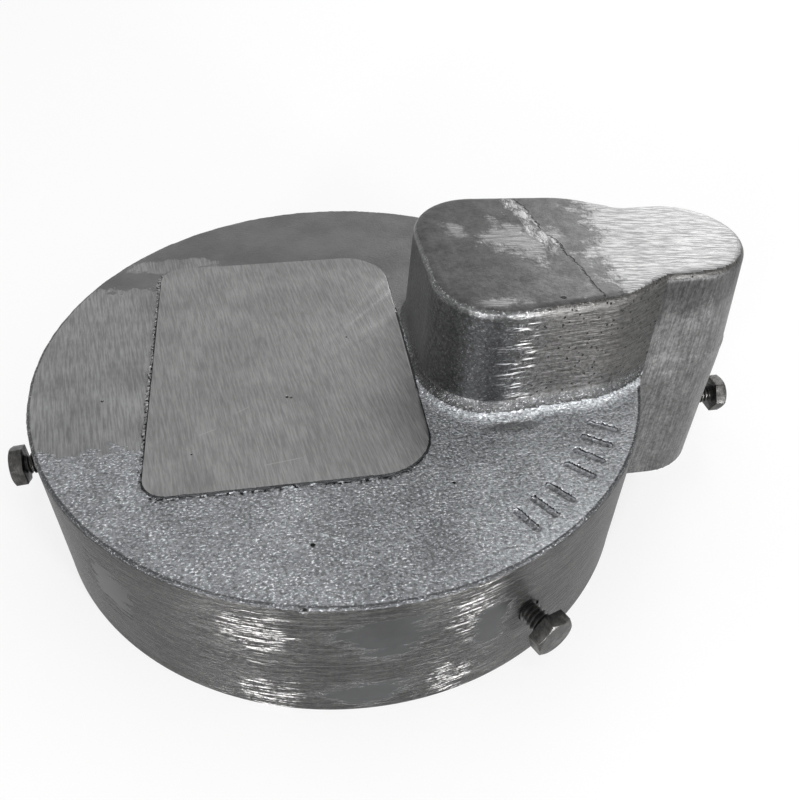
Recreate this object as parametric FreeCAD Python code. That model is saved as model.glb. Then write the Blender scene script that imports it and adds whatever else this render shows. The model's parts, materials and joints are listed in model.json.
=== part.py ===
"""Overlapping well cap: a one-piece aluminium sand casting with a raised wire passage and a conduit hub,
and its four hex head set screws.

Frame: +Z up, origin on the axis of the casing bore in the plane of the skirt's lower rim, +X towards the
conduit hub. Millimetres.
"""

import FreeCAD
import Part

import math
import os

V = FreeCAD.Vector
UP = V(0, 0, 1)
ORIGIN = V(0, 0, 0)

# well casing, and the bore that fits over it
casing_diameter = 168.3
casing_clearance = 1.25  # radial
skirt_wall = 6.6
skirt_height = 46.0  # lower rim to the top of the disc
disc_thickness = 6.5
rim_chamfer = 0.7  # broken edge round the top of the disc
bore_corner = 2.5  # bevel where the bore meets the disc's underside

# raised pad on the disc, with larger corner radii towards the conduit
pad_height = 0.8
pad_length = 77.4
pad_width = 107.0
pad_centre_x = -17.8
pad_centre_y = 1.2
pad_corner_radius = 7.0
pad_inner_corner_radius = 15.0

# conduit hub beside the skirt, from the lower rim up into the wire passage
conduit_diameter = 29.5
conduit_clearance = 0.35  # radial
conduit_depth = 34.0  # from the lower rim to the stop shoulder
conduit_shoulder = 2.2  # radial width of the stop shoulder
hub_wall = 5.7
hub_root_radius = 4.0  # where the hub's flats meet the skirt
bore_web = 3.2  # metal between the two bores

# wire passage: a hollow hump from the disc out over the hub
hump_height = 35.0  # above the disc
hump_reach = 69.4  # from the cap's rim inwards to the inner end wall, at the foot
hump_half_width = 34.6  # at the inner end wall, at the foot
hump_inner_radius = 20.0
shoulder_reach = 16.0  # from the cap's rim inwards to where the sides turn in towards the hub
shoulder_half_width = 29.8
shoulder_radius = 30.0
neck_reach = 0.5  # from the cap's rim inwards to where the sides meet the hub's flats
neck_radius = 7.0
hump_side_draft = 0.8  # the sides lean in by this much up to the top
hump_inner_draft = 2.0
hub_end_lean = 3.2  # the outer end leans in by this much up to the top
hump_wall = 5.5
hump_top_radius = 3.0
hump_foot_radius = 5.0

# hex head screws, 1/4-20 by 1/2 inch, three in the skirt and one in the hub
screw_diameter = 6.35
screw_length = 12.7  # under the head
screw_clearance = 0.05  # radial
screw_chamfer = 0.8
head_across_flats = 11.11
head_height = 3.97
head_chamfer_angle = 30.0
head_turns = (12.0, 40.0, 5.0, 25.0)  # each hex turned about its own axis
skirt_screw_angles = (-64.0, 61.0, 186.0)  # about +Z from the conduit's side
skirt_screw_height = 22.0
hub_screw_height = 15.0
screw_tip_gap = 0.1  # from the tip back to the wall of the bore

# derived sizes
bore_radius = casing_diameter / 2 + casing_clearance
cap_radius = bore_radius + skirt_wall
conduit_radius = conduit_diameter / 2 + conduit_clearance
hub_radius = conduit_radius + hub_wall
hub_x = bore_radius + bore_web + conduit_radius
hump_inner_x = cap_radius - hump_reach
shoulder_x = cap_radius - shoulder_reach
neck_x = cap_radius - neck_reach
ceiling_z = skirt_height - disc_thickness
hump_top_z = skirt_height + hump_height
screw_radius = screw_diameter / 2
run_past = 1.0  # how far a cut or a fused solid runs past a face


def rounded_outline(corners, z):
    """Edges of a closed outline at height z through (x, y, radius) corners, each rounded by an arc."""
    count = len(corners)
    arcs = []
    for i, (x, y, radius) in enumerate(corners):
        here = V(x, y, z)
        before = V(corners[i - 1][0], corners[i - 1][1], z) - here
        after = V(corners[(i + 1) % count][0], corners[(i + 1) % count][1], z) - here
        before.normalize()
        after.normalize()
        half = before.getAngle(after) / 2
        bisector = before + after
        bisector.normalize()
        run = radius / math.tan(half)
        middle = here + bisector * (radius / math.sin(half) - radius)
        arcs.append((here + before * run, middle, here + after * run))
    edges = []
    for i, (start, middle, end) in enumerate(arcs):
        edges.append(Part.Arc(start, middle, end).toShape())
        following = arcs[(i + 1) % count][0]
        if end.distanceToPoint(following) > 1e-6:
            edges.append(Part.LineSegment(end, following).toShape())
    return edges


def moved_corner(before, here, after, set_in):
    """Where two sides of an outline meet once the side before has moved in by set_in[0], the next by set_in[1]."""
    first = V(here.y - before.y, before.x - here.x, 0).normalize()
    second = V(after.y - here.y, here.x - after.x, 0).normalize()
    det = first.x * second.y - first.y * second.x
    x = (set_in[0] * second.y - set_in[1] * first.y) / det
    y = (set_in[1] * first.x - set_in[0] * second.x) / det
    return here + V(x, y, 0)


def hump_outline(inset, lift, z):
    """Plan outline of the wire passage at height z, inset from the outer wall.

    lift is 0 at the foot and 1 at the top.
    """
    side = inset + hump_side_draft * lift
    inner_end = inset + hump_inner_draft * lift
    outer_end = inset + hub_end_lean * lift
    half = [
        (hump_inner_x, hump_half_width, hump_inner_radius - side, side),
        (shoulder_x, shoulder_half_width, shoulder_radius - side, side),
        (neck_x, hub_radius, neck_radius + side, side),
        (hub_x + hub_radius, hub_radius, hub_radius - side, outer_end),
    ]
    other = [(x, -y, radius, side) for x, y, radius, _ in reversed(half)]
    other[-1] = other[-1][:3] + (inner_end,)
    foot = half + other
    points = [V(x, y, 0) for x, y, _, _ in foot]
    corners = []
    for i, (_, _, radius, following) in enumerate(foot):
        after = points[(i + 1) % len(foot)]
        moved = moved_corner(points[i - 1], points[i], after, (foot[i - 1][3], following))
        corners.append((moved.x, moved.y, radius))
    return rounded_outline(corners, z)


def hump_solid(inset, bottom_z, top_z):
    """Solid of the wire passage between two heights, inset from the outer wall, with flat and ruled walls."""
    lower, upper = [
        hump_outline(inset, (z - skirt_height) / hump_height, z) for z in (bottom_z, top_z)
    ]
    faces = [Part.Face(Part.Wire(lower)), Part.Face(Part.Wire(upper))]
    for low, high in zip(lower, upper):
        if isinstance(low.Curve, Part.Line):
            start, end = low.Vertexes
            above_start, above_end = high.Vertexes
            ends = [v.Point for v in (start, end, above_end, above_start)]
            faces.append(Part.Face(Part.makePolygon(ends + ends[:1])))
        else:
            faces.append(Part.makeRuledSurface(low, high))
    solid = Part.Solid(Part.Shell(faces))
    solid.fix(1e-4, 1e-4, 1e-4)
    return solid


def edges_at(shape, z, inside=None):
    """Edges that lie in the plane at height z, and within a radius of the axis if one is given."""
    found = []
    for edge in shape.Edges:
        box = edge.BoundBox
        level = abs(box.ZMin - z) < 1e-4 and abs(box.ZMax - z) < 1e-4
        reach = max(abs(box.XMax), abs(box.XMin), abs(box.YMax), abs(box.YMin))
        if level and (inside is None or reach < inside):
            found.append(edge)
    return found


def rim_cutter():
    """Ring that breaks the rim of the disc, left open where the foot of the wire passage runs out over it."""
    profile = [
        V(cap_radius - rim_chamfer, 0, skirt_height),
        V(cap_radius + run_past, 0, skirt_height - rim_chamfer - run_past),
        V(cap_radius + run_past, 0, skirt_height + run_past),
        V(cap_radius - rim_chamfer, 0, skirt_height + run_past),
    ]
    ring = Part.Face(Part.makePolygon(profile + profile[:1])).revolve(ORIGIN, UP, 360)
    foot = Part.Face(Part.Wire(hump_outline(-hump_foot_radius, 0, skirt_height - 3 * run_past)))
    return ring.cut(foot.extrude(UP * 6 * run_past))


def plan_envelope():
    """Everything the casting covers in plan, as a tall solid: the round cap joined to the U of the hub."""
    height = hump_top_z + 2 * run_past
    base = V(0, 0, -run_past)
    cap = Part.makeCylinder(cap_radius, height, base)
    flats = Part.makeBox(hub_x, 2 * hub_radius, height, V(0, -hub_radius, -run_past))
    end = Part.makeCylinder(hub_radius, height, V(hub_x, 0, -run_past))
    envelope = cap.fuse([flats, end]).removeSplitter()
    root_x = math.sqrt(cap_radius ** 2 - hub_radius ** 2)
    roots = [
        edge
        for edge in envelope.Edges
        if edge.BoundBox.ZLength > height / 2
        and abs(edge.BoundBox.XMin - root_x) < 0.01
        and abs(abs(edge.BoundBox.YMin) - hub_radius) < 0.01
    ]
    return envelope.makeFillet(hub_root_radius, roots)


def cap_blank():
    """Outer form of the casting: disc, skirt, hub and wire passage, before anything is bored or cored."""
    plate_radius = cap_radius + 2 * hub_x
    plate = Part.makeCylinder(plate_radius, skirt_height)
    hump = hump_solid(0, skirt_height, hump_top_z)
    blank = plate.fuse(hump).removeSplitter()
    blank = blank.makeFillet(hump_foot_radius, edges_at(blank, skirt_height, plate_radius - run_past))
    blank = blank.makeFillet(hump_top_radius, edges_at(blank, hump_top_z))
    return blank.common(plan_envelope()).cut(rim_cutter())


def cap_pad():
    """Raised rectangular pad on the disc."""
    left = pad_centre_x - pad_length / 2
    right = pad_centre_x + pad_length / 2
    low = pad_centre_y - pad_width / 2
    high = pad_centre_y + pad_width / 2
    corners = [
        (left, low, pad_corner_radius),
        (right, low, pad_inner_corner_radius),
        (right, high, pad_inner_corner_radius),
        (left, high, pad_corner_radius),
    ]
    outline = Part.Wire(rounded_outline(corners, skirt_height - run_past))
    return Part.Face(outline).extrude(UP * (pad_height + run_past))


def casing_bore():
    """Space of the well casing's end, with a bevelled corner under the disc."""
    bore = Part.makeCylinder(bore_radius, ceiling_z + run_past, V(0, 0, -run_past))
    return bore.makeChamfer(bore_corner, edges_at(bore, ceiling_z))


def conduit_bore():
    """Stepped hole for the conduit, open at the lower rim and into the wire passage at the top."""
    socket = Part.makeCylinder(conduit_radius, conduit_depth + run_past, V(hub_x, 0, -run_past))
    throat_radius = conduit_radius - conduit_shoulder
    throat = Part.makeCylinder(throat_radius, ceiling_z + run_past, V(hub_x, 0, 0))
    return socket.fuse(throat)


def screw_places():
    """(name, tip, inward direction, turn of the hex) of each screw at rest."""
    places = []
    for i, angle in enumerate(skirt_screw_angles):
        out = V(math.cos(math.radians(angle)), math.sin(math.radians(angle)), 0)
        tip = out * (bore_radius + screw_tip_gap) + UP * skirt_screw_height
        places.append((f"casing_screw_{i + 1}", tip, out * -1, head_turns[i]))
    out = V(1, 0, 0)
    tip = V(hub_x, 0, hub_screw_height) + out * (conduit_radius + screw_tip_gap)
    places.append(("conduit_screw", tip, out * -1, head_turns[-1]))
    return places


def cap_casting():
    """The whole casting with its bores, its cored wire passage and its screw holes."""
    casting = cap_blank().fuse(cap_pad())
    wire_passage = hump_solid(hump_wall, ceiling_z - run_past / 2, hump_top_z - hump_wall)
    cuts = [casing_bore(), conduit_bore(), wire_passage]
    hole_radius = screw_radius + screw_clearance
    for name, tip, inward, turn in screw_places():
        start = tip + inward * (2 * run_past)
        cuts.append(Part.makeCylinder(hole_radius, screw_length, start, inward * -1))
    return casting.cut(cuts).removeSplitter()


def hex_screw(tip, inward, turn):
    """Hex head screw with its tip at tip and its shank running back against the inward direction."""
    shank = Part.makeCylinder(screw_radius, screw_length)
    shank = shank.makeChamfer(screw_chamfer, edges_at(shank, 0))
    corner_radius = head_across_flats / 2 / math.cos(math.radians(30))
    corners = []
    for i in range(6):
        angle = math.radians(60 * i)
        corners.append(V(corner_radius * math.cos(angle), corner_radius * math.sin(angle), screw_length))
    hexagon = Part.Face(Part.makePolygon(corners + corners[:1])).extrude(UP * head_height)
    flat_radius = head_across_flats / 2 * 0.96
    rise = head_height + flat_radius * math.tan(math.radians(head_chamfer_angle))
    cone = Part.makeCone(rise / math.tan(math.radians(head_chamfer_angle)), 0, rise, V(0, 0, screw_length))
    screw = shank.fuse(hexagon.common(cone))
    screw.rotate(ORIGIN, UP, turn)
    screw.Placement = FreeCAD.Placement(tip, FreeCAD.Rotation(UP, inward * -1)).multiply(screw.Placement)
    return screw


def write(name, shape):
    """Writes one solid of the part as parts/NAME.step."""
    if not shape.isValid() or len(shape.Solids) != 1:
        raise ValueError(f"{name} is not one valid solid")
    shape.Solids[0].exportStep(f"parts/{name}.step")
    print(f"{name}: volume {shape.Volume / 1000:.2f} cm3")


os.makedirs("parts", exist_ok=True)
write("cap_casting", cap_casting())
for screw_name, screw_tip, screw_inward, screw_turn in screw_places():
    write(screw_name, hex_screw(screw_tip, screw_inward, screw_turn))
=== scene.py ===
"""Looks of the sand-cast well cap and its hex head set screws. Metres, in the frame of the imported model."""

import json
import math

import bmesh
import bpy
import numpy as np
from mathutils import Matrix, Vector


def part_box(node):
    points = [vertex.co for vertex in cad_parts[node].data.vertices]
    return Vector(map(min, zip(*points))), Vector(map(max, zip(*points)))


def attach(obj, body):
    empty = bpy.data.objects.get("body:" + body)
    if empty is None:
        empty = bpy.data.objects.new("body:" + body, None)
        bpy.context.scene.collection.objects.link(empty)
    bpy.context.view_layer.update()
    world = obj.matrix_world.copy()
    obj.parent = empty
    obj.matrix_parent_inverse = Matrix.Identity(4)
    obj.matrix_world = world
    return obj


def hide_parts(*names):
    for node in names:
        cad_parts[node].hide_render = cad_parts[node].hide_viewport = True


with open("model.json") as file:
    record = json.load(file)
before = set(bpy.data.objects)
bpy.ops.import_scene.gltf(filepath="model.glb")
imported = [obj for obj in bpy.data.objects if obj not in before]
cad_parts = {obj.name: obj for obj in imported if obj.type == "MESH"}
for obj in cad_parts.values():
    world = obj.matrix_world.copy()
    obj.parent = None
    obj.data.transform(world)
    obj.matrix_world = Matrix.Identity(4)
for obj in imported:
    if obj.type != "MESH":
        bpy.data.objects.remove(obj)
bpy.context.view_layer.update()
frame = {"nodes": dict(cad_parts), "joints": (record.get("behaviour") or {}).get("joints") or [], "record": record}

MM = 0.001

# sizes of the casting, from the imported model
casting_low, casting_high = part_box("cap_casting")
mounts = {mount["name"]: mount for mount in frame["record"]["mounts"]}
skirt_radius = -casting_low.x
hump_top = casting_high.z
bore_radius = mounts["casing_bore"]["dims"]["r_mm"] * MM
hub_x = mounts["conduit_bore"]["pos_m"][0]
hub_radius = casting_high.x - hub_x

# places on the casting
disc_top = 46.0 * MM
pad_top = 46.8 * MM
pad_centre = (-17.8 * MM, 1.2 * MM)
pad_half = (38.7 * MM, 53.5 * MM)
pad_corner = 7.0 * MM
pad_inner_corner = 15.0 * MM  # on the side towards the conduit

# surface detail of the casting
voxel = 0.55 * MM
most_triangles = 190_000
bar_length = 9.0 * MM
bar_width = 2.1 * MM
bar_depth = 1.2 * MM
bar_radius = 81.8 * MM  # from the cap's axis to the middle of a bar
bar_angles = [-30.5 - 4.6 * i for i in range(4)] + [-51.5 - 4.8 * i for i in range(3)]
nick_angle = math.radians(-101.3)  # of the deep nick in the disc's rim
nick_depth = 0.9 * MM
nick_reach = (0.3 * MM, 1.1 * MM)  # full depth within the first, none past the second
snap = 0.25 * MM  # how near a true cylinder a remeshed point counts as on it
casting_smoothing = math.radians(32)

# hex head set screws, 1/4-20
screw_length = 12.7 * MM  # under the head
screw_radius = 3.16 * MM
tip_chamfer = 0.8 * MM
thread_pitch = 1.27 * MM
thread_depth = 0.72 * MM
across_flats = 11.08 * MM
head_height = 3.96 * MM
head_chamfer_angle = math.radians(30)
head_turns = (12, 40, 5, 25)  # degrees, each about its own axis
screw_smoothing = math.radians(28)

# patterns in the metal
grain_size = 1.1 * MM
fine_grain_sizes = (0.8 * MM, 0.5 * MM, 0.5 * MM)
blotch_size = 14 * MM
belt_sizes = (0.6 * MM, 9 * MM, 1.0)  # across and along the grinding lines
belt_turn = math.radians(-9)
belt_relief = 0.07
pit_cell = 1.7 * MM
pit_width = 0.75 * MM
pit_share = 0.8  # how many of the cells hold a pit

# greys of the metal. A pair runs from the darker to the lighter lines, or from the foot to the top.
# painted shade: the far part of the disc top gets this darker grey
back_shade_grey = 0.17
rubbed_greys = (0.215, 0.335)
pad_greys = (0.24, 0.34)
skirt_grey = 0.066
missed_grey = 0.085  # smooth patches that the belt missed
wall_grey = 0.08
hub_greys = (0.15, 0.08)
top_grey = 0.105
scratched_grey = 0.33
scored_grey = 0.7
# painted shade in the pits, pores and crease, which are only bumps in the surface
hollow_shade_grey = 0.02
# painted shade on the walls of the sunk bars and the pad's step, and along the pad's edge
crevice_shade_grey = 0.035
zinc_greys = (0.045, 0.095)

metal_roughness = 0.42
skirt_roughness = 0.38
burnished_roughness = 0.36

# studio
wall_light = 0.9
ceiling_light = 0.75
floor_colour = (0.93, 0.93, 0.93, 1)
floor_glow = 0.7  # share of the floor that shows as plain white
camera_place = (-0.01718, -0.19462, 0.20203)
camera_turns = (-10, 47.84, 1.52)  # degrees: heading, tilt and roll
camera_lens = 36.07
camera_shift = (0.0093, 0.0064)


def deselect():
    bpy.ops.object.select_all(action="DESELECT")


def make_active(piece):
    deselect()
    piece.select_set(True)
    bpy.context.view_layer.objects.active = piece


def apply_modifier(piece, kind, **settings):
    """Adds a modifier with those settings to the piece and applies it."""
    make_active(piece)
    modifier = piece.modifiers.new(kind.lower(), kind)
    for key, value in settings.items():
        setattr(modifier, key, value)
    bpy.ops.object.modifier_apply(modifier=modifier.name)


def settle(piece):
    """Puts the piece's place, turn and scale into its mesh."""
    make_active(piece)
    bpy.ops.object.transform_apply(location=True, rotation=True, scale=True)


def copied_node(node, name):
    """A merged copy of a CAD node's mesh as a piece of its own."""
    piece = bpy.data.objects.new(name, frame["nodes"][node].data.copy())
    bpy.context.scene.collection.objects.link(piece)
    piece.data.materials.clear()
    make_active(piece)
    bpy.ops.object.mode_set(mode="EDIT")
    bpy.ops.mesh.select_all(action="SELECT")
    bpy.ops.mesh.remove_doubles(threshold=1e-6)
    bpy.ops.mesh.customdata_custom_splitnormals_clear()
    bpy.ops.object.mode_set(mode="OBJECT")
    return piece


def combine(piece, other, operation):
    """Joins, cuts or clips the piece with another, which is then gone."""
    apply_modifier(piece, "BOOLEAN", operation=operation, object=other, solver="EXACT")
    bpy.data.objects.remove(other)


# ---------------------------------------------------------------- casting

def sunk_bars():
    """Cutters for the plain bars sunk along the rim: four, a gap, and three."""
    bars = []
    for angle in bar_angles:
        deselect()
        bpy.ops.mesh.primitive_cube_add(size=1.0)
        bar = bpy.context.object
        bar.scale = (bar_length, bar_width, 2 * bar_depth)
        settle(bar)
        bpy.ops.object.mode_set(mode="EDIT")
        bpy.ops.mesh.select_all(action="SELECT")
        bpy.ops.mesh.bevel(offset=0.35 * bar_width, segments=3)
        bpy.ops.object.mode_set(mode="OBJECT")
        turn = math.radians(angle)
        bar.rotation_euler.z = turn
        bar.location = (bar_radius * math.cos(turn), bar_radius * math.sin(turn), disc_top)
        settle(bar)
        bars.append(bar)
    deselect()
    for bar in bars:
        bar.select_set(True)
    bpy.context.view_layer.objects.active = bars[0]
    bpy.ops.object.join()
    return bars[0]


def places_of(piece):
    """The piece's vertices and their normals, as arrays."""
    count = len(piece.data.vertices)
    places = np.empty(count * 3)
    normals = np.empty(count * 3)
    piece.data.vertices.foreach_get("co", places)
    piece.data.vertex_normals.foreach_get("vector", normals)
    return places.reshape(-1, 3), normals.reshape(-1, 3)


def ramp(values, start, end):
    """Smooth rise from 0 at start to 1 at end."""
    t = np.clip((values - start) / (end - start), 0, 1)
    return t * t * (3 - 2 * t)


def weigh(piece, name, weights):
    """Vertex group with one weight for each vertex."""
    group = piece.vertex_groups.new(name=name)
    levels = np.round(weights * 20).astype(int)
    for level in range(1, 21):
        members = np.flatnonzero(levels == level).tolist()
        if members:
            group.add(members, level / 20, "REPLACE")
    return name


def roughen(piece, group, size, strength, mid_level=0.5, depth=2):
    """Displaces a group of the piece's vertices by cloud noise of that size."""
    clouds = bpy.data.textures.new(group, "CLOUDS")
    clouds.noise_scale = size
    clouds.noise_depth = depth
    apply_modifier(
        piece, "DISPLACE", texture=clouds, texture_coords="LOCAL", strength=strength,
        mid_level=mid_level, vertex_group=group,
    )
    bpy.data.textures.remove(clouds)


def trued(piece, form):
    """Brings the remeshed piece back onto the form, with true cylinders and a crisp step round the pad."""
    apply_modifier(piece, "SHRINKWRAP", target=form, wrap_method="NEAREST_SURFACEPOINT")
    places, _ = places_of(piece)
    radius = np.hypot(places[:, 0], places[:, 1])
    clear_of_hub = (places[:, 0] < 0) | (np.abs(places[:, 1]) > hub_radius + 5 * MM)
    outside = clear_of_hub & (np.abs(radius - skirt_radius) < snap) & (places[:, 2] < disc_top - 1.2 * MM)
    inside = (np.abs(radius - bore_radius) < snap) & (places[:, 2] < disc_top - 10 * MM)
    for members, true_radius in ((outside, skirt_radius), (inside, bore_radius)):
        places[members, :2] *= (true_radius / radius[members])[:, None]
    foot = clear_of_hub & (radius > skirt_radius - 0.9 * MM) & (places[:, 2] < 0.6 * MM)
    places[foot, :2] *= (skirt_radius / radius[foot])[:, None]

    gap = pad_distance(places[:, 0], places[:, 1])
    level = np.abs(places[:, 2] - disc_top) < 1 * MM
    edge = (np.abs(gap) < 0.6 * voxel) & level & (places[:, 0] < 20 * MM)
    x, y = places[edge, 0], places[edge, 1]
    nudge = 0.01 * MM
    slope_x = (pad_distance(x + nudge, y) - gap[edge]) / nudge
    slope_y = (pad_distance(x, y + nudge) - gap[edge]) / nudge
    raised = places[edge, 2] > (disc_top + pad_top) / 2
    shift = np.where(raised, -0.05 * MM, 0.1 * MM) - gap[edge]
    places[edge, 0] += slope_x * shift
    places[edge, 1] += slope_y * shift
    places[edge, 2] = np.where(raised, pad_top, disc_top)
    piece.data.vertices.foreach_set("co", places.ravel())
    piece.data.update()


def pad_distance(x, y):
    """Distance outwards from the pad's outline, negative inside it."""
    corner = np.where(x > pad_centre[0], pad_inner_corner, pad_corner)
    dx = np.abs(x - pad_centre[0]) - pad_half[0] + corner
    dy = np.abs(y - pad_centre[1]) - pad_half[1] + corner
    inside = np.minimum(np.maximum(dx, dy), 0)
    return np.hypot(np.maximum(dx, 0), np.maximum(dy, 0)) + inside - corner


def keep_within(places):
    """Brings places back inside the skirt's radius and above the rest plane."""
    radius = np.hypot(places[:, 0], places[:, 1])
    proud = (radius > skirt_radius) & (places[:, 0] < hub_x - hub_radius)
    places[proud, :2] *= (skirt_radius / radius[proud])[:, None]
    places[:, 2] = np.maximum(places[:, 2], 0)


def notch(piece):
    """Presses the deep nick into the disc's rim."""
    places, _ = places_of(piece)
    x, y = math.cos(nick_angle), math.sin(nick_angle)
    middle = np.array((skirt_radius * x, skirt_radius * y, disc_top - 0.4 * MM))
    away = np.linalg.norm(places - middle, axis=1)
    depth = nick_depth * (1 - ramp(away, *nick_reach))
    places[:, 0] -= depth * x
    places[:, 1] -= depth * y
    places[:, 2] -= depth
    keep_within(places)
    piece.data.vertices.foreach_set("co", places.ravel())
    piece.data.update()


def make_uneven(piece):
    """Gives the piece the unevenness of a sand mould, most of it on the near part of the disc."""
    places, normals = places_of(piece)
    x, y, z = places.T
    radius = np.hypot(x, y)
    gap = pad_distance(x, y)
    up = ramp(normals[:, 2], 0.5, 0.85)
    near = 1 - ramp(y, -5 * MM, 35 * MM)

    outside = np.maximum(ramp(radius, 88 * MM, 90 * MM), ramp(z, disc_top - 1 * MM, disc_top))
    below_top = 1 - ramp(z, hump_top - 0.6 * MM, hump_top - 0.1 * MM)
    walls = (1 - up) * outside * ramp(z, 0.5 * MM, 3 * MM)

    on_pad = ramp(-gap, -0.2 * MM, 0.4 * MM) * ramp(z, 46.3 * MM, 46.6 * MM)
    on_pad *= 1 - ramp(z, 47.2 * MM, 48 * MM)
    disc = up * (1 - on_pad) * (1 - ramp(z, 47 * MM, 50 * MM))
    disc *= ramp(z, disc_top - 1.2 * MM, disc_top - 0.2 * MM)

    beside_pad = ramp(gap, 0, 0.5 * MM) * (1 - ramp(gap, 1.2 * MM, 2.4 * MM)) * disc
    rough_side = np.maximum(1 - ramp(x, -58 * MM, -54 * MM), 1 - ramp(y, -53 * MM, -50 * MM))
    rim = ramp(z, disc_top - 1.6 * MM, disc_top - 0.6 * MM) * ramp(radius, 90 * MM, 91 * MM)
    rim *= 1 - ramp(z, disc_top + 0.3 * MM, disc_top + 1.0 * MM)
    top = ramp(z, hump_top - 0.5 * MM, hump_top - 0.1 * MM)

    roughen(piece, weigh(piece, "swell", walls * below_top), 22 * MM, 0.16 * MM, mid_level=1.0)
    roughen(piece, weigh(piece, "disc_swell", disc * (0.4 + 0.6 * near)), 9 * MM, 0.28 * MM)
    roughen(piece, weigh(piece, "disc_grain", disc * (0.2 + 0.8 * near)), 1.5 * MM, 0.2 * MM)
    roughen(piece, weigh(piece, "pad_flash", beside_pad * rough_side), 1.3 * MM, 1.2 * MM, mid_level=0.42)
    roughen(piece, weigh(piece, "rim_nicks", rim), 4.0 * MM, 0.35 * MM, mid_level=0.6, depth=3)
    roughen(piece, weigh(piece, "top_swell", top), 12 * MM, 0.35 * MM, mid_level=1.0)


def make_casting():
    """The casting: the CAD form with sunk bars, a fine even mesh, and the unevenness of a sand mould."""
    piece = copied_node("cap_casting", "casting_body")
    bars = sunk_bars()
    combine(piece, bars, "DIFFERENCE")
    form = bpy.data.objects.new("form", piece.data.copy())
    bpy.context.scene.collection.objects.link(form)
    apply_modifier(piece, "REMESH", mode="VOXEL", voxel_size=voxel)
    trued(piece, form)
    bpy.data.objects.remove(form)
    make_uneven(piece)
    notch(piece)
    piece.vertex_groups.clear()
    triangles = sum(len(polygon.vertices) - 2 for polygon in piece.data.polygons)
    apply_modifier(piece, "DECIMATE", decimate_type="COLLAPSE", ratio=min(1.0, most_triangles / triangles))
    make_active(piece)
    bpy.ops.object.shade_smooth_by_angle(angle=casting_smoothing)
    return piece


# ---------------------------------------------------------------- screws

def wound(name, profile, rise=0.0, turns=1, steps=48):
    """The surface that a profile of (reach, height) points sweeps round Z, climbing by rise each turn."""
    shape = bmesh.new()
    corners = [shape.verts.new((reach, 0, height)) for reach, height in profile]
    for start, end in zip(corners, corners[1:]):
        shape.edges.new((start, end))
    mesh = bpy.data.meshes.new(name)
    shape.to_mesh(mesh)
    shape.free()
    piece = bpy.data.objects.new(name, mesh)
    bpy.context.scene.collection.objects.link(piece)
    apply_modifier(
        piece, "SCREW", angle=math.tau, screw_offset=rise, iterations=turns, steps=steps, render_steps=steps,
        use_merge_vertices=True, merge_threshold=1e-6,
    )
    bpy.ops.object.mode_set(mode="EDIT")
    bpy.ops.mesh.select_all(action="SELECT")
    bpy.ops.mesh.remove_doubles(threshold=1e-6)
    bpy.ops.mesh.fill_holes(sides=0)
    bpy.ops.mesh.select_all(action="SELECT")
    bpy.ops.mesh.normals_make_consistent(inside=False)
    bpy.ops.object.mode_set(mode="OBJECT")
    return piece


def make_screw():
    """Hex head screw along Z, with its tip at the origin: rolled thread, chamfered tip and chamfered head."""
    root = screw_radius - thread_depth
    crest = screw_radius
    start = -2 * thread_pitch
    ridge = [(root, 0.0), (root, 0.12), (crest, 0.44), (crest, 0.56), (root, 0.88), (root, 1.0)]
    turns = math.ceil(screw_length / thread_pitch) + 4
    thread = [(reach, start + part * thread_pitch) for reach, part in ridge]
    screw = wound("screw", thread, rise=thread_pitch, turns=turns, steps=36)
    in_head = head_height / 3
    wide = crest + 0.3 * MM
    tip = [
        (0, 0), (crest - tip_chamfer, 0), (wide, tip_chamfer + wide - crest), (wide, screw_length + in_head),
        (0, screw_length + in_head),
    ]
    combine(screw, wound("blank", tip), "INTERSECT")

    corner = across_flats / 2 / math.cos(math.radians(30))
    flat = 0.96 * across_flats / 2
    top = screw_length + head_height
    wide = corner + 0.5 * MM
    fall = (wide - flat) * math.tan(head_chamfer_angle)
    head = wound("head", [(0, screw_length), (wide, screw_length), (wide, top - fall), (flat, top), (0, top)])
    deselect()
    bpy.ops.mesh.primitive_cylinder_add(
        vertices=6, radius=corner, depth=3 * head_height, location=(0, 0, top),
        rotation=(0, 0, math.radians(30)),
    )
    hexagon = bpy.context.object
    settle(hexagon)
    combine(head, hexagon, "INTERSECT")
    apply_modifier(
        head, "BEVEL", width=0.14 * MM, segments=2, limit_method="ANGLE", angle_limit=math.radians(25)
    )
    combine(screw, head, "UNION")
    make_active(screw)
    bpy.ops.object.shade_smooth_by_angle(angle=screw_smoothing)
    return screw


def place_screws():
    """Copies of the one screw, each on the axis of its joint with its tip where the CAD screw ends."""
    pattern = make_screw()
    pattern.data.materials.append(screw_finish())
    for joint, turn in zip(frame["joints"], head_turns):
        node = joint["child"]
        low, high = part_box(node)
        out = -Vector(joint["axis"])
        reach = max(Vector(v.co).dot(out) for v in frame["nodes"][node].data.vertices)
        tip = out * (reach - screw_length - head_height)
        tip.z = (low.z + high.z) / 2
        screw = bpy.data.objects.new(node + "_body", pattern.data.copy())
        bpy.context.scene.collection.objects.link(screw)
        up = Vector((0, 0, 1))
        spin = Matrix.Rotation(math.radians(turn), 4, "Z")
        turned = up.rotation_difference(out).to_matrix().to_4x4() @ spin
        screw.matrix_world = Matrix.Translation(tip) @ turned
        bpy.context.view_layer.update()
        settle(screw)
        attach(screw, node)
        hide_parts(node)
    bpy.data.objects.remove(pattern)


# ---------------------------------------------------------------- finishes

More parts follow.
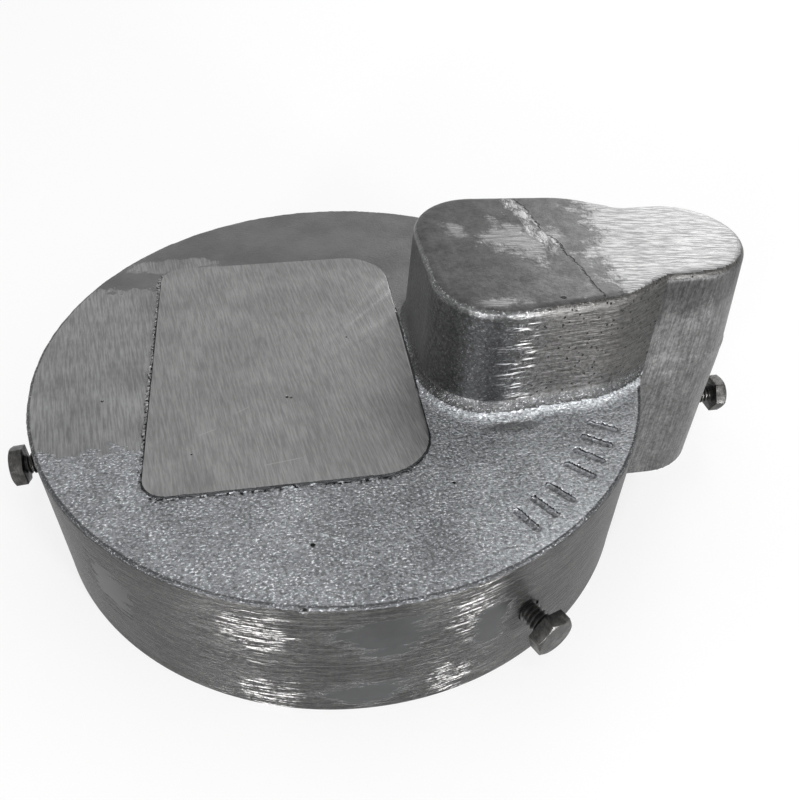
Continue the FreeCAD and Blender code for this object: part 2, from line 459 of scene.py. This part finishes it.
class Finish:
    """One procedural metal, with short calls for the nodes that it needs."""

    def __init__(self, name):
        self.material = bpy.data.materials.new(name)
        self.material.use_nodes = True
        self.tree = self.material.node_tree
        self.shader = self.tree.nodes["Principled BSDF"]
        self.shader.inputs["Metallic"].default_value = 1.0
        source = self.tree.nodes.new("ShaderNodeTexCoord")
        self.place = source.outputs["Object"]
        self.x, self.y, self.z = self.parts(self.place)
        self.nx, self.ny, self.nz = self.parts(source.outputs["Normal"])

    def add(self, kind, inputs, output, **settings):
        """A node with those settings and inputs, each a number, a tuple or a socket. Returns one output."""
        node = self.tree.nodes.new(kind)
        for key, value in settings.items():
            setattr(node, key, value)
        for socket, value in inputs.items():
            if isinstance(value, bpy.types.NodeSocket):
                self.tree.links.new(value, node.inputs[socket])
            else:
                node.inputs[socket].default_value = value
        return node.outputs[output]

    def parts(self, vector):
        node = self.tree.nodes.new("ShaderNodeSeparateXYZ")
        self.tree.links.new(vector, node.inputs[0])
        return node.outputs

    def math(self, operation, a, b=0.0):
        return self.add("ShaderNodeMath", {0: a, 1: b}, 0, operation=operation)

    def joined(self, operation, values):
        total = values[0]
        for value in values[1:]:
            total = self.math(operation, total, value)
        return total

    def times(self, *values):
        return self.joined("MULTIPLY", values)

    def plus(self, *values):
        return self.joined("ADD", values)

    def most(self, *values):
        return self.joined("MAXIMUM", values)

    def less(self, value, amount):
        return self.math("SUBTRACT", value, amount)

    def rest(self, value):
        """1 less the value."""
        return self.less(1.0, value)

    def reach(self, a, b):
        """Length of the flat vector (a, b)."""
        return self.math("SQRT", self.plus(self.times(a, a), self.times(b, b)))

    def step(self, value, start, end):
        """Smooth rise from 0 at start to 1 at end."""
        inputs = {"Value": value, "From Min": start, "From Max": end}
        return self.add("ShaderNodeMapRange", inputs, "Result", interpolation_type="SMOOTHSTEP")

    def band(self, value, start, end, soft):
        """1 between start and end, with soft edges."""
        return self.times(self.step(value, start - soft, start), self.rest(self.step(value, end, end + soft)))

    def blend(self, share, low, high):
        return self.add("ShaderNodeMix", {0: share, 2: low, 3: high}, 0, data_type="FLOAT")

    def spread(self, value, span, ends):
        """The first end up to the start of the span, the second from its end on, and smooth between."""
        return self.blend(self.step(value, *span), *ends)

    def noise(self, sizes, detail=3.0, roughness=0.55, turn=0.0, lean=0.0):
        """Noise whose features have those sizes along X, Y and Z, turned about Z or leaning up along X."""
        where = self.place
        if lean:
            lift = self.add("ShaderNodeCombineXYZ", {2: self.times(self.x, lean)}, 0)
            where = self.add("ShaderNodeVectorMath", {0: where, 1: lift}, 0, operation="ADD")
        if turn:
            inputs = {"Vector": where, "Angle": turn}
            where = self.add("ShaderNodeVectorRotate", inputs, 0, rotation_type="Z_AXIS")
        scale = tuple(1 / size for size in sizes)
        where = self.add("ShaderNodeVectorMath", {0: where, 1: scale}, 0, operation="MULTIPLY")
        inputs = {"Vector": where, "Scale": 1.0, "Detail": detail, "Roughness": roughness}
        return self.add("ShaderNodeTexNoise", inputs, 0)

    def grain(self):
        """The sand's grain."""
        return self.noise((grain_size,) * 3, detail=4.0, roughness=0.68)

    def fine_grain(self):
        return self.noise(fine_grain_sizes, detail=2.0, roughness=0.6)

    def speck(self, grain, ends):
        return self.spread(grain, (0.36, 0.62), ends)

    def belt(self):
        """Lines that the grinding belt left on the disc and the pad."""
        return self.noise(belt_sizes, detail=4.0, roughness=0.7, turn=belt_turn)

    def blotched(self, ends, size=blotch_size, detail=4.0, roughness=0.6):
        """Cloudy factor between two ends."""
        return self.spread(self.noise((size,) * 3, detail=detail, roughness=roughness), (0.3, 0.7), ends)

    def pits(self):
        """Round gas pits, in most cells of an uneven pattern."""
        inputs = {"Vector": self.place, "Scale": 1 / pit_cell, "Randomness": 1.0}
        away = self.add("ShaderNodeTexVoronoi", inputs, "Distance")
        chosen = self.step(self.parts(away.node.outputs["Color"])[0], 1 - pit_share, 1 - pit_share + 0.02)
        hole = self.rest(self.step(away, 0.3 * pit_width / pit_cell, 0.5 * pit_width / pit_cell))
        return self.times(chosen, hole)

    def ragged(self, amount, size=9 * MM):
        """Uneven offset of up to about that amount either way, with features of that size."""
        uneven = self.noise((size,) * 3, detail=5.0, roughness=0.7)
        return self.times(self.less(uneven, 0.5), 2 * amount)

    def oval(self, centre, half, ragged, soft=0.3):
        """1 inside an oval of those half sizes about a centre in plan, with a soft and ragged edge."""
        dx = self.math("DIVIDE", self.less(self.x, centre[0]), half[0])
        dy = self.math("DIVIDE", self.less(self.y, centre[1]), half[1])
        away = self.plus(self.reach(dx, dy), self.ragged(ragged))
        return self.rest(self.step(away, 1 - soft, 1.0))

    def round_patch(self, turn, height, half_turn, half_height, ragged):
        """1 inside an oval on the skirt, about a place given by its angle in degrees and its height."""
        angle = self.times(self.math("ARCTAN2", self.y, self.x), math.degrees(1))
        dx = self.math("DIVIDE", self.less(angle, turn), half_turn)
        dy = self.math("DIVIDE", self.less(self.z, height), half_height)
        streaks = self.noise((16 * MM, 16 * MM, 3 * MM), detail=5.0, roughness=0.75)
        away = self.plus(self.reach(dx, dy), self.times(self.less(streaks, 0.5), 2 * ragged))
        return self.rest(self.step(away, 0.7, 1.0))

    def stroke(self, centre, angle, length, width):
        """1 along a straight scratch about a centre in plan, at that angle in degrees from X."""
        along = (math.cos(math.radians(angle)), math.sin(math.radians(angle)))
        dx = self.less(self.x, centre[0])
        dy = self.less(self.y, centre[1])
        run = self.math("ABSOLUTE", self.plus(self.times(dx, along[0]), self.times(dy, along[1])))
        off = self.math("ABSOLUTE", self.plus(self.times(dy, along[0]), self.times(dx, -along[1])))
        ends = self.rest(self.step(run, 0.3 * length, 0.5 * length))
        return self.times(ends, self.rest(self.step(off, 0.2 * width, 0.6 * width)))

    def spot(self, x, y, z, radius):
        """1 inside a small pore about a place."""
        away = self.add("ShaderNodeVectorMath", {0: self.place, 1: (x, y, z)}, 1, operation="DISTANCE")
        away = self.plus(away, self.ragged(0.5 * radius, 1.2 * MM))
        return self.rest(self.step(away, 0.6 * radius, radius))

    def pad_gap(self):
        """Distance outwards from the pad's outline, negative inside it."""
        corner = self.spread(self.x, (pad_centre[0], pad_centre[0] + 1 * MM), (pad_corner, pad_inner_corner))
        away = []
        for place, centre, half in zip((self.x, self.y), pad_centre, pad_half):
            off = self.math("ABSOLUTE", self.less(place, centre))
            away.append(self.plus(self.less(off, half), corner))
        outside = self.reach(*[self.math("MAXIMUM", part, 0.0) for part in away])
        inside = self.math("MINIMUM", self.most(*away), 0.0)
        return self.less(self.plus(outside, inside), corner)

    def bump(self, height):
        return self.add("ShaderNodeBump", {"Height": height, "Distance": 1.0 * MM, "Strength": 1.0}, 0)

    def grey(self, value, warmth=0.0):
        """Grey of that value, warmer above 0 and cooler below."""
        red = self.times(value, self.plus(1.0, self.times(warmth, 0.04)))
        blue = self.times(value, self.plus(1.0, self.times(warmth, -0.05)))
        return self.add("ShaderNodeCombineColor", {0: red, 1: value, 2: blue}, 0)

    def finish(self, colour, roughness, normal, shader=None):
        shader = shader or self.shader
        self.tree.links.new(colour, shader.inputs["Base Color"])
        if isinstance(roughness, float):
            shader.inputs["Roughness"].default_value = roughness
        else:
            self.tree.links.new(roughness, shader.inputs["Roughness"])
        self.tree.links.new(normal, shader.inputs["Normal"])
        return self.material

    def brushed(self, share, colour, normal):
        """Mixes in a second metal that shines across scratches running level round the Z axis."""
        brushed = self.tree.nodes.new("ShaderNodeBsdfPrincipled")
        brushed.inputs["Metallic"].default_value = 1.0
        brushed.inputs["Anisotropic"].default_value = 1.0
        brushed.inputs["Anisotropic Rotation"].default_value = 0.25
        tangent = self.add("ShaderNodeTangent", {}, 0, direction_type="RADIAL", axis="Z")
        self.tree.links.new(tangent, brushed.inputs["Tangent"])
        self.finish(colour, burnished_roughness, normal, brushed)
        mix = self.add("ShaderNodeMixShader", {0: share, 1: self.shader.outputs[0], 2: brushed.outputs[0]}, 0)
        self.tree.links.new(mix, self.tree.nodes["Material Output"].inputs["Surface"])


def cast_finish():
    """Sand-cast skin: grain near the front, with glints painted into it, smoother behind, with patches rubbed by a
    belt. The far part of the disc is painted darker as shade and the near part lighter towards the hump as light;
    the hump's foot is painted darker against the lamps' highlight; the bar floors, the step walls and a line along
    the pad's edge are painted dark as shade.
    """
    f = Finish("cast skin")
    radius = f.reach(f.x, f.y)
    up = f.step(f.nz, 0.55, 0.85)
    side = f.rest(f.step(f.math("ABSOLUTE", f.nz), 0.3, 0.6))
    on_disc = f.rest(f.step(radius, 88 * MM, 89 * MM))
    near = f.rest(f.step(f.y, -10 * MM, 35 * MM))

    edge_y = f.plus(f.y, f.ragged(16 * MM, 7 * MM))
    left_side = f.rest(f.step(f.x, -57 * MM, -56 * MM))
    left_patch = f.times(left_side, f.band(edge_y, -33 * MM, 44 * MM, 1 * MM))
    back_patch = f.oval((-52 * MM, 58 * MM), (16 * MM, 5 * MM), ragged=1.2)
    near_patch = f.oval((44 * MM, -38 * MM), (8 * MM, 3 * MM), soft=0.6, ragged=1.2)
    rubbed = f.times(f.most(left_patch, back_patch, f.times(near_patch, 0.6)), up)
    unrubbed = f.rest(f.times(rubbed, 0.9))

    rim_height = f.band(f.z, disc_top - 1.0 * MM, disc_top + 0.2 * MM, 0.2 * MM)
    rim = f.times(rim_height, f.step(radius, 90.6 * MM, 91.0 * MM))
    foot = f.step(f.z, disc_top + 0.5 * MM, disc_top + 1.8 * MM)
    # Masks for painted shade: the walls and floors of the sunk bars and the pad's step, and a dark line along the
    # pad's edge.
    walls = f.times(side, f.band(f.z, disc_top - 1.1 * MM, pad_top - 0.08 * MM, 0.04 * MM), on_disc)
    shaded_bar_floors = f.times(up, f.band(f.z, disc_top - 1.5 * MM, disc_top - 0.6 * MM, 0.2 * MM), on_disc)

    gap = f.pad_gap()
    below_pad_top = f.rest(f.step(f.z, pad_top + 0.6 * MM, pad_top + 1 * MM))
    beside = f.times(f.step(gap, -0.6 * MM, -0.4 * MM), below_pad_top)
    line_gap = f.plus(gap, f.ragged(0.7 * MM, 5 * MM))
    outline = f.times(beside, f.rest(f.step(line_gap, 0.3 * MM, 0.55 * MM)))
    flashed = f.most(f.rest(f.step(f.x, -57 * MM, -55 * MM)), f.rest(f.step(f.y, -52 * MM, -50 * MM)))
    flash_gap = f.plus(gap, f.ragged(2 * MM, 6 * MM))
    flash = f.times(beside, flashed, f.rest(f.step(flash_gap, 0.9 * MM, 1.5 * MM)))

    grain = f.grain()
    fine_grain = f.fine_grain()
    belt = f.belt()
    pores = f.most(
        f.spot(-14.3 * MM, -72.2 * MM, disc_top, 0.8 * MM),
        f.spot(24.0 * MM, -57.0 * MM, disc_top, 0.6 * MM),
        f.spot(-70.0 * MM, -12.0 * MM, disc_top, 0.5 * MM),
    )
    scores = f.most(
        f.stroke((-9 * MM, -71 * MM), -32, 9 * MM, 0.5 * MM),
        f.stroke((-11 * MM, -69.5 * MM), -30, 7 * MM, 0.4 * MM),
        f.stroke((-4.4 * MM, -78.6 * MM), -8, 5 * MM, 0.45 * MM),
        f.stroke((12 * MM, -73 * MM), 8, 8 * MM, 0.4 * MM),
    )
    scores = f.times(scores, f.step(grain, 0.36, 0.56))
    sanded = f.plus(grain, f.times(fine_grain, 0.4))
    relief = f.plus(
        f.times(sanded, f.most(unrubbed, flash), f.blend(near, 0.3, 1.0), 0.55),
        f.times(belt, rubbed, belt_relief),
        f.times(f.most(pores, f.times(scores, 0.2)), -0.5),
    )

    # Painted glints: bright specks put into the colour where the grain would catch the lamps.
    painted_glints = f.step(fine_grain, 0.54, 0.68)
    speck = f.times(f.speck(grain, (0.64, 1.16)), f.spread(fine_grain, (0.3, 0.44), (0.55, 1.0)))
    clumps = f.spread(f.noise((5 * MM,) * 3), (0.35, 0.65), (0.6, 1.3))
    # Painted light: the near tone rises towards the hump, lightening the disc where the hump shades it.
    plain = f.spread(f.x, (10 * MM, 55 * MM), (0.31, 0.58))
    near_tone = f.plus(f.times(speck, plain), f.times(painted_glints, clumps, 0.58))
    # Painted shade: the far part of the disc takes the darker back grey.
    tone = f.blend(near, back_shade_grey, near_tone)
    tone = f.blend(rubbed, tone, f.spread(belt, (0.35, 0.65), rubbed_greys))
    # Rim: a darker band flecked with painted glints.
    tone = f.blend(rim, tone, f.plus(0.09, f.times(painted_glints, 0.25)))
    # Painted shade: the floors of the sunk bars at half the grey.
    tone = f.blend(shaded_bar_floors, tone, f.times(tone, 0.5))
    # Flash beside the pad, flecked with painted glints.
    tone = f.blend(flash, tone, f.plus(f.times(f.step(grain, 0.42, 0.54), 0.3), f.times(painted_glints, 0.5)))
    tone = f.blend(scores, tone, scored_grey)
    # Painted shade: the hump's foot is darkened to dim the lamps' highlight on it.
    tone = f.times(tone, f.blend(foot, 1.0, 0.68), f.blotched((0.86, 1.14)))
    # Painted shade in the pores.
    tone = f.blend(pores, tone, hollow_shade_grey)
    # Painted shade: near black on the bar and step walls, and a painted shadow line along the pad's edge.
    tone = f.blend(f.most(walls, outline), tone, crevice_shade_grey)
    warmth = f.times(near, unrubbed, -0.8)
    return f.finish(f.grey(tone, warmth), metal_roughness, f.bump(relief))


def pad_finish():
    """Face ground flat on a belt: fine lines along it, a few stray scratches and a double pore."""
    f = Finish("ground pad")
    belt = f.belt()
    pores = f.most(
        f.spot(-17.3 * MM, -18.2 * MM, pad_top, 0.55 * MM),
        f.spot(-16.2 * MM, -18.6 * MM, pad_top, 0.5 * MM),
        f.spot(-44.0 * MM, -38.0 * MM, pad_top, 0.35 * MM),
        f.spot(3.0 * MM, 8.0 * MM, pad_top, 0.35 * MM),
    )
    scores = f.most(
        f.stroke((-20 * MM, -44 * MM), 8, 12 * MM, 0.4 * MM),
        f.stroke((-40 * MM, -30 * MM), 22, 6 * MM, 0.4 * MM),
        f.stroke((-30 * MM, -22 * MM), 30, 5 * MM, 0.35 * MM),
    )
    tone = f.times(f.spread(belt, (0.35, 0.65), pad_greys), f.blotched((0.9, 1.1)))
    tone = f.blend(f.times(scores, 0.5), tone, 0.45)
    # Painted shade in the pores.
    tone = f.blend(pores, tone, 0.03)
    relief = f.plus(f.times(belt, belt_relief), f.times(pores, -0.4))
    return f.finish(f.grey(tone, 0.1), metal_roughness, f.bump(relief))


def level_lines(f):
    """Scratches that run level round the casting, slightly crossing, and the burnished ones among them."""
    level = f.noise((9 * MM, 9 * MM, 0.5 * MM), roughness=0.7, lean=0.04)
    crossing = f.noise((12 * MM, 12 * MM, 0.5 * MM), roughness=0.7, lean=-0.05)
    lines = f.times(f.plus(level, crossing), 0.5)
    zones = f.step(f.noise((9 * MM, 9 * MM, 4 * MM)), 0.36, 0.56)
    return lines, f.times(f.step(lines, 0.54, 0.6), zones)


def skirt_finish():
    """Skirt ground round on a belt: dull lines, burnished patches, and smooth ones that the belt missed. The
    burnished patches sit where the lamps glint and carry a light grey as a painted glint, and the skirt is painted
    darker towards its left and right sides as shade.
    """
    f = Finish("ground skirt")
    missed = f.most(
        f.round_patch(-90, 33 * MM, 8, 10 * MM, 1.3),
        f.round_patch(-72, 26 * MM, 4, 11 * MM, 1.3),
        f.round_patch(-92, 8 * MM, 8, 6 * MM, 1.3),
        f.round_patch(-137, 26 * MM, 6, 12 * MM, 1.3),
    )
    # Burnished patches placed where the lamps glint; their light grey is a painted glint.
    polished_glint_patches = f.most(
        f.round_patch(-109, 34 * MM, 7, 12 * MM, 1.2),
        f.round_patch(-108, 6 * MM, 6, 9 * MM, 1.2),
        f.round_patch(-75, 33 * MM, 5, 13 * MM, 1.2),
        f.round_patch(-78, 6 * MM, 5, 9 * MM, 1.2),
    )
    ground = f.rest(missed)
    # Painted shade: the skirt is made darker towards its left and right sides.
    left = f.rest(f.step(f.x, -80 * MM, -45 * MM))
    right = f.step(f.x, 40 * MM, 75 * MM)
    lines, burnished = level_lines(f)
    grain = f.grain()
    tone = f.times(f.spread(lines, (0.4, 0.62), (0.62, 1.35)), f.speck(grain, (0.8, 1.2)), skirt_grey)
    tone = f.times(f.blend(missed, tone, missed_grey), f.blotched((0.86, 1.14)))
    # Painted shade towards the left and right sides.
    tone = f.times(tone, f.blend(left, 1.0, 0.35), f.blend(right, 1.0, 0.55))
    warmth = f.blend(missed, 0.3, -0.4)
    normal = f.bump(f.times(lines, ground, 0.5))
    fine_lines = f.times(polished_glint_patches, f.step(lines, 0.48, 0.56), f.step(grain, 0.38, 0.52))
    burnished = f.most(burnished, fine_lines)
    # Burnished lines: a light grey in the patches as a painted glint, and darker on the left as painted shade.
    bright = f.blend(polished_glint_patches, f.blend(left, 0.15, 0.08), 0.44)
    bright = f.grey(f.blend(burnished, tone, bright), warmth)
    f.brushed(f.times(burnished, ground, f.blend(polished_glint_patches, 0.6, 1.0)), bright, normal)
    return f.finish(f.grey(tone, warmth), skirt_roughness, normal)


def wall_finish():
    """Sides of the hump: dark cast skin on the pad's side, then pored metal with level scratches. Painted light:
    the skin lighter on the end turned towards the pad, a highlight along the near shoulder, glints in the grain
    and a light burnished strip at the near corner; the pits are painted dark as shade.
    """
    f = Finish("hump sides")
    skin = f.rest(f.step(f.plus(f.x, f.ragged(8 * MM)), 40 * MM, 58 * MM))
    foot = f.rest(f.step(f.z, 49.5 * MM, 51.5 * MM))
    bare = f.rest(f.most(skin, foot))
    shoulder = f.step(f.z, hump_top - 2.0 * MM, hump_top - 1.4 * MM)
    near = f.rest(f.step(f.y, -10 * MM, 10 * MM))
    # Faces turned towards the pad, where the skin is painted lighter.
    inner = f.rest(f.step(f.nx, -0.95, -0.6))
    lines, burnished = level_lines(f)
    fine_grain = f.fine_grain()
    grain = f.grain()
    pits = f.times(f.pits(), bare)
    # Painted glints: bright specks put into the colour where the grain would catch the lamps.
    painted_glints = f.step(fine_grain, 0.56, 0.72)
    speck = f.speck(grain, (0.72, 1.25))
    tone = f.times(f.spread(lines, (0.4, 0.62), (0.75, 1.25)), speck, wall_grey)
    # Painted light: the skin is lighter on faces turned towards the pad.
    tone = f.blend(skin, tone, f.times(f.plus(f.blend(inner, 0.062, 0.13), f.times(painted_glints, 0.12)), speck))
    # The near foot: cast grain flecked with painted glints.
    tone = f.blend(f.times(foot, near), tone, f.times(f.plus(0.07, f.times(painted_glints, 0.24)), speck))
    # Painted highlight along the near shoulder, fading towards the conduit.
    lit = f.times(shoulder, near, f.spread(f.x, (44 * MM, 56 * MM), (1.0, 0.3)))
    tone = f.blend(lit, tone, f.times(f.plus(0.13, f.times(painted_glints, 0.35)), speck))
    tone = f.times(tone, f.blotched((0.86, 1.14)))
    # Painted shade in the pits.
    tone = f.blend(pits, tone, hollow_shade_grey)
    cast = f.most(f.times(skin, 0.3), foot, f.times(shoulder, 0.5))
    relief = f.plus(
        f.times(f.plus(grain, f.times(fine_grain, 0.4)), cast, 0.36),
        f.times(lines, bare, 0.25),
        f.times(pits, -0.4),
    )
    normal = f.bump(relief)
    warmth = f.plus(0.5, f.times(f.most(skin, foot), -0.8))
    # Burnished strip at the near corner where a lamp glints; its light grey of 0.42 is a painted glint.
    corner = f.times(f.band(f.x, 42 * MM, 49 * MM, 3 * MM), f.rest(foot))
    f.brushed(f.times(burnished, corner), f.grey(f.blend(burnished, tone, 0.42), warmth), normal)
    return f.finish(f.grey(tone, warmth), f.blend(skin, metal_roughness, 0.36), normal)


def hub_finish():
    """Conduit hub filed up and down, darker at the top."""
    f = Finish("filed hub")
    lines = f.noise((0.55 * MM, 0.55 * MM, 8 * MM), detail=4.0, roughness=0.7)
    filed = f.spread(f.plus(f.z, f.ragged(12 * MM)), (62 * MM, 71 * MM), hub_greys)
    speck = f.times(f.speck(f.grain(), (0.78, 1.2)), f.blotched((0.78, 1.2)))
    tone = f.times(f.spread(lines, (0.38, 0.64), (0.75, 1.25)), filed, speck)
    return f.finish(f.grey(tone, 0.1), metal_roughness, f.bump(f.times(lines, 0.22)))


def top_finish():
    """Top of the hump: smooth dark skin with a cold shut, and bright scratched metal over the conduit."""
    f = Finish("rubbed top")
    scratched_x = f.plus(f.x, f.ragged(22 * MM, 10 * MM), f.times(f.y, -0.15))
    scratched = f.most(
        f.step(scratched_x, 72 * MM, 80 * MM),
        f.times(f.oval((54 * MM, 4 * MM), (12 * MM, 13 * MM), soft=0.7, ragged=1.8), 0.75),
        f.times(f.oval((37 * MM, 10 * MM), (4 * MM, 6 * MM), soft=0.8, ragged=1.8), 0.7),
        f.times(f.oval((40 * MM, -27 * MM), (9 * MM, 2.5 * MM), soft=0.8, ragged=1.8), 0.7),
    )
    lines = f.noise((7 * MM, 0.8 * MM, 1.0), detail=4.0, roughness=0.7, turn=math.radians(10))
    grain = f.grain()
    crease_x = f.plus(f.x, f.times(f.y, 0.17), f.ragged(3.5 * MM, 11 * MM))
    broken = f.spread(f.noise((4 * MM,) * 3), (0.4, 0.6), (0.25, 1.0))
    crease = f.times(f.band(crease_x, 64.4 * MM, 64.6 * MM, 0.4 * MM), broken)
    smear = f.times(
        f.band(crease_x, 60.8 * MM, 63.4 * MM, 1.8 * MM),
        f.step(f.y, -10 * MM, 8 * MM),
        f.step(f.noise((3 * MM, 5 * MM, 5 * MM), detail=4.0, roughness=0.7), 0.38, 0.62),
    )
    pore = f.spot(57.8 * MM, -27.0 * MM, hump_top, 0.9 * MM)
    mottled = f.blotched((0.78, 1.25), size=5 * MM, detail=5.0, roughness=0.7)
    tone = f.times(top_grey, mottled, f.speck(grain, (0.88, 1.12)))
    tone = f.blend(scratched, tone, f.times(f.spread(lines, (0.38, 0.62), (0.7, 1.4)), scratched_grey))
    tone = f.blend(smear, tone, 0.45)
    # Painted shade in the pore and the crease.
    tone = f.blend(f.most(pore, f.times(crease, 0.6)), tone, hollow_shade_grey)
    relief = f.plus(
        f.times(lines, scratched, 0.3),
        f.times(grain, f.rest(scratched), 0.08),
        f.times(f.most(crease, pore), -0.5),
        f.times(smear, 0.25),
    )
    return f.finish(f.grey(tone), metal_roughness, f.bump(relief))


def dress_casting(piece):
    """Gives each kind of surface of the casting its finish."""
    mesh = piece.data
    count = len(mesh.polygons)
    centres = np.empty(count * 3)
    normals = np.empty(count * 3)
    mesh.polygons.foreach_get("center", centres)
    mesh.polygons.foreach_get("normal", normals)
    x, y, z = centres.reshape(-1, 3).T
    nz = normals.reshape(-1, 3)[:, 2]
    radius = np.hypot(x, y)
    side = np.abs(nz) < 0.45
    outside_hub = np.hypot(x - hub_x, y) > hub_radius - 3 * MM
    on_pad = (z > pad_top - 0.15 * MM) & (z < pad_top + 0.1 * MM) & (nz > 0.7)
    kinds = np.zeros(count, dtype=int)
    kinds[(pad_distance(x, y) < 0) & on_pad] = 1
    kinds[side & (radius > 90.5 * MM) & (z < disc_top - 0.7 * MM)] = 2
    kinds[(z > disc_top + 1.5 * MM) & (nz < 0.9)] = 3
    kinds[side & (x > 90.5 * MM) & outside_hub] = 4
    kinds[(z > hump_top - 1.5 * MM) & (nz >= 0.9)] = 5
    for finish in (cast_finish, pad_finish, skirt_finish, wall_finish, hub_finish, top_finish):
        mesh.materials.append(finish())
    mesh.polygons.foreach_set("material_index", kinds)


def screw_finish():
    """Dull zinc plate, blotched and a little scuffed."""
    f = Finish("zinc-plated steel")
    blotch = f.noise((2.2 * MM,) * 3, detail=4.0, roughness=0.6)
    scuff = f.noise((0.35 * MM, 1.6 * MM, 1.6 * MM), roughness=0.7)
    tone = f.times(f.spread(blotch, (0.3, 0.7), zinc_greys), f.spread(scuff, (0.35, 0.65), (0.85, 1.2)))
    normal = f.bump(f.plus(f.times(blotch, 0.2), f.times(scuff, 0.06)))
    return f.finish(f.grey(tone, 0.5), f.blend(blotch, 0.5, 0.3), normal)


# ---------------------------------------------------------------- studio

def lay_floor():
    """Pale floor that shows mostly as plain white and still takes the object's shadow."""
    deselect()
    bpy.ops.mesh.primitive_plane_add(size=6.0, location=(0, 0, 0))
    floor = bpy.context.object
    floor.name = "floor"
    paint = bpy.data.materials.new("pale floor")
    paint.use_nodes = True
    nodes = paint.node_tree.nodes
    links = paint.node_tree.links
    shader = nodes["Principled BSDF"]
    shader.inputs["Base Color"].default_value = floor_colour
    shader.inputs["Roughness"].default_value = 0.9
    floor.data.materials.append(paint)
    path = nodes.new("ShaderNodeLightPath")
    seen = path.outputs["Is Camera Ray"]
    for ray in ("Is Glossy Ray", "Is Transmission Ray"):
        total = nodes.new("ShaderNodeMath")
        total.operation = "ADD"
        links.new(seen, total.inputs[0])
        links.new(path.outputs[ray], total.inputs[1])
        seen = total.outputs[0]
    share = nodes.new("ShaderNodeMath")
    share.operation = "MULTIPLY"
    share.use_clamp = True
    share.inputs[1].default_value = floor_glow
    links.new(seen, share.inputs[0])
    white = nodes.new("ShaderNodeEmission")
    mix = nodes.new("ShaderNodeMixShader")
    for socket, output in enumerate((share.outputs[0], shader.outputs[0], white.outputs[0])):
        links.new(output, mix.inputs[socket])
    links.new(mix.outputs[0], nodes["Material Output"].inputs["Surface"])


def light_surroundings():
    """White all round, a little dimmer overhead."""
    world = bpy.data.worlds.new("studio")
    world.use_nodes = True
    tree = world.node_tree
    source = tree.nodes.new("ShaderNodeTexCoord")
    height = tree.nodes.new("ShaderNodeSeparateXYZ")
    fade = tree.nodes.new("ShaderNodeMapRange")
    fade.interpolation_type = "SMOOTHSTEP"
    fade.inputs["From Min"].default_value = 0.25
    fade.inputs["From Max"].default_value = 0.55
    fade.inputs["To Min"].default_value = wall_light
    fade.inputs["To Max"].default_value = ceiling_light
    background = tree.nodes["Background"]
    background.inputs["Color"].default_value = (1, 1, 1, 1)
    tree.links.new(source.outputs["Generated"], height.inputs[0])
    tree.links.new(height.outputs["Z"], fade.inputs["Value"])
    tree.links.new(fade.outputs["Result"], background.inputs["Strength"])
    bpy.context.scene.world = world


def hang_lamp(name, azimuth, elevation, distance, size, power):
    """Square lamp that faces the origin from that azimuth and elevation in degrees."""
    lamp = bpy.data.lights.new(name, "AREA")
    lamp.size = size
    lamp.energy = power
    holder = bpy.data.objects.new(name, lamp)
    bpy.context.scene.collection.objects.link(holder)
    turn = math.radians(azimuth)
    lift = math.radians(elevation)
    out = Vector((math.cos(turn) * math.cos(lift), math.sin(turn) * math.cos(lift), math.sin(lift)))
    holder.location = out * distance
    holder.rotation_euler = (-out).to_track_quat("-Z", "Y").to_euler()
    holder.visible_camera = False


def set_camera():
    view = bpy.data.cameras.new("view")
    view.sensor_width = 36.0
    view.lens = camera_lens
    view.shift_x, view.shift_y = camera_shift
    view.clip_start = 0.01
    camera = bpy.data.objects.new("view", view)
    bpy.context.scene.collection.objects.link(camera)
    heading, tilt, roll = (math.radians(turn) for turn in camera_turns)
    turned = Matrix.Rotation(heading, 4, "Z") @ Matrix.Rotation(tilt, 4, "X") @ Matrix.Rotation(roll, 4, "Z")
    camera.matrix_world = Matrix.Translation(camera_place) @ turned
    bpy.context.scene.camera = camera


def studio():
    """Pale floor, soft lamps, even surroundings and the camera."""
    bpy.context.scene.view_settings.view_transform = "Standard"
    lay_floor()
    light_surroundings()
    hang_lamp("back right", 52, 27, distance=1.1, size=0.3, power=2.2)
    hang_lamp("front left", 237.3, 6, distance=1.0, size=0.14, power=10.0)
    hang_lamp("front right", 300, 6, distance=1.0, size=0.14, power=10.0)
    hang_lamp("high front", 265, 65, distance=1.0, size=0.12, power=0.6)
    set_camera()


casting = make_casting()
dress_casting(casting)
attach(casting, "casting")
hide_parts("cap_casting")
place_screws()
studio()
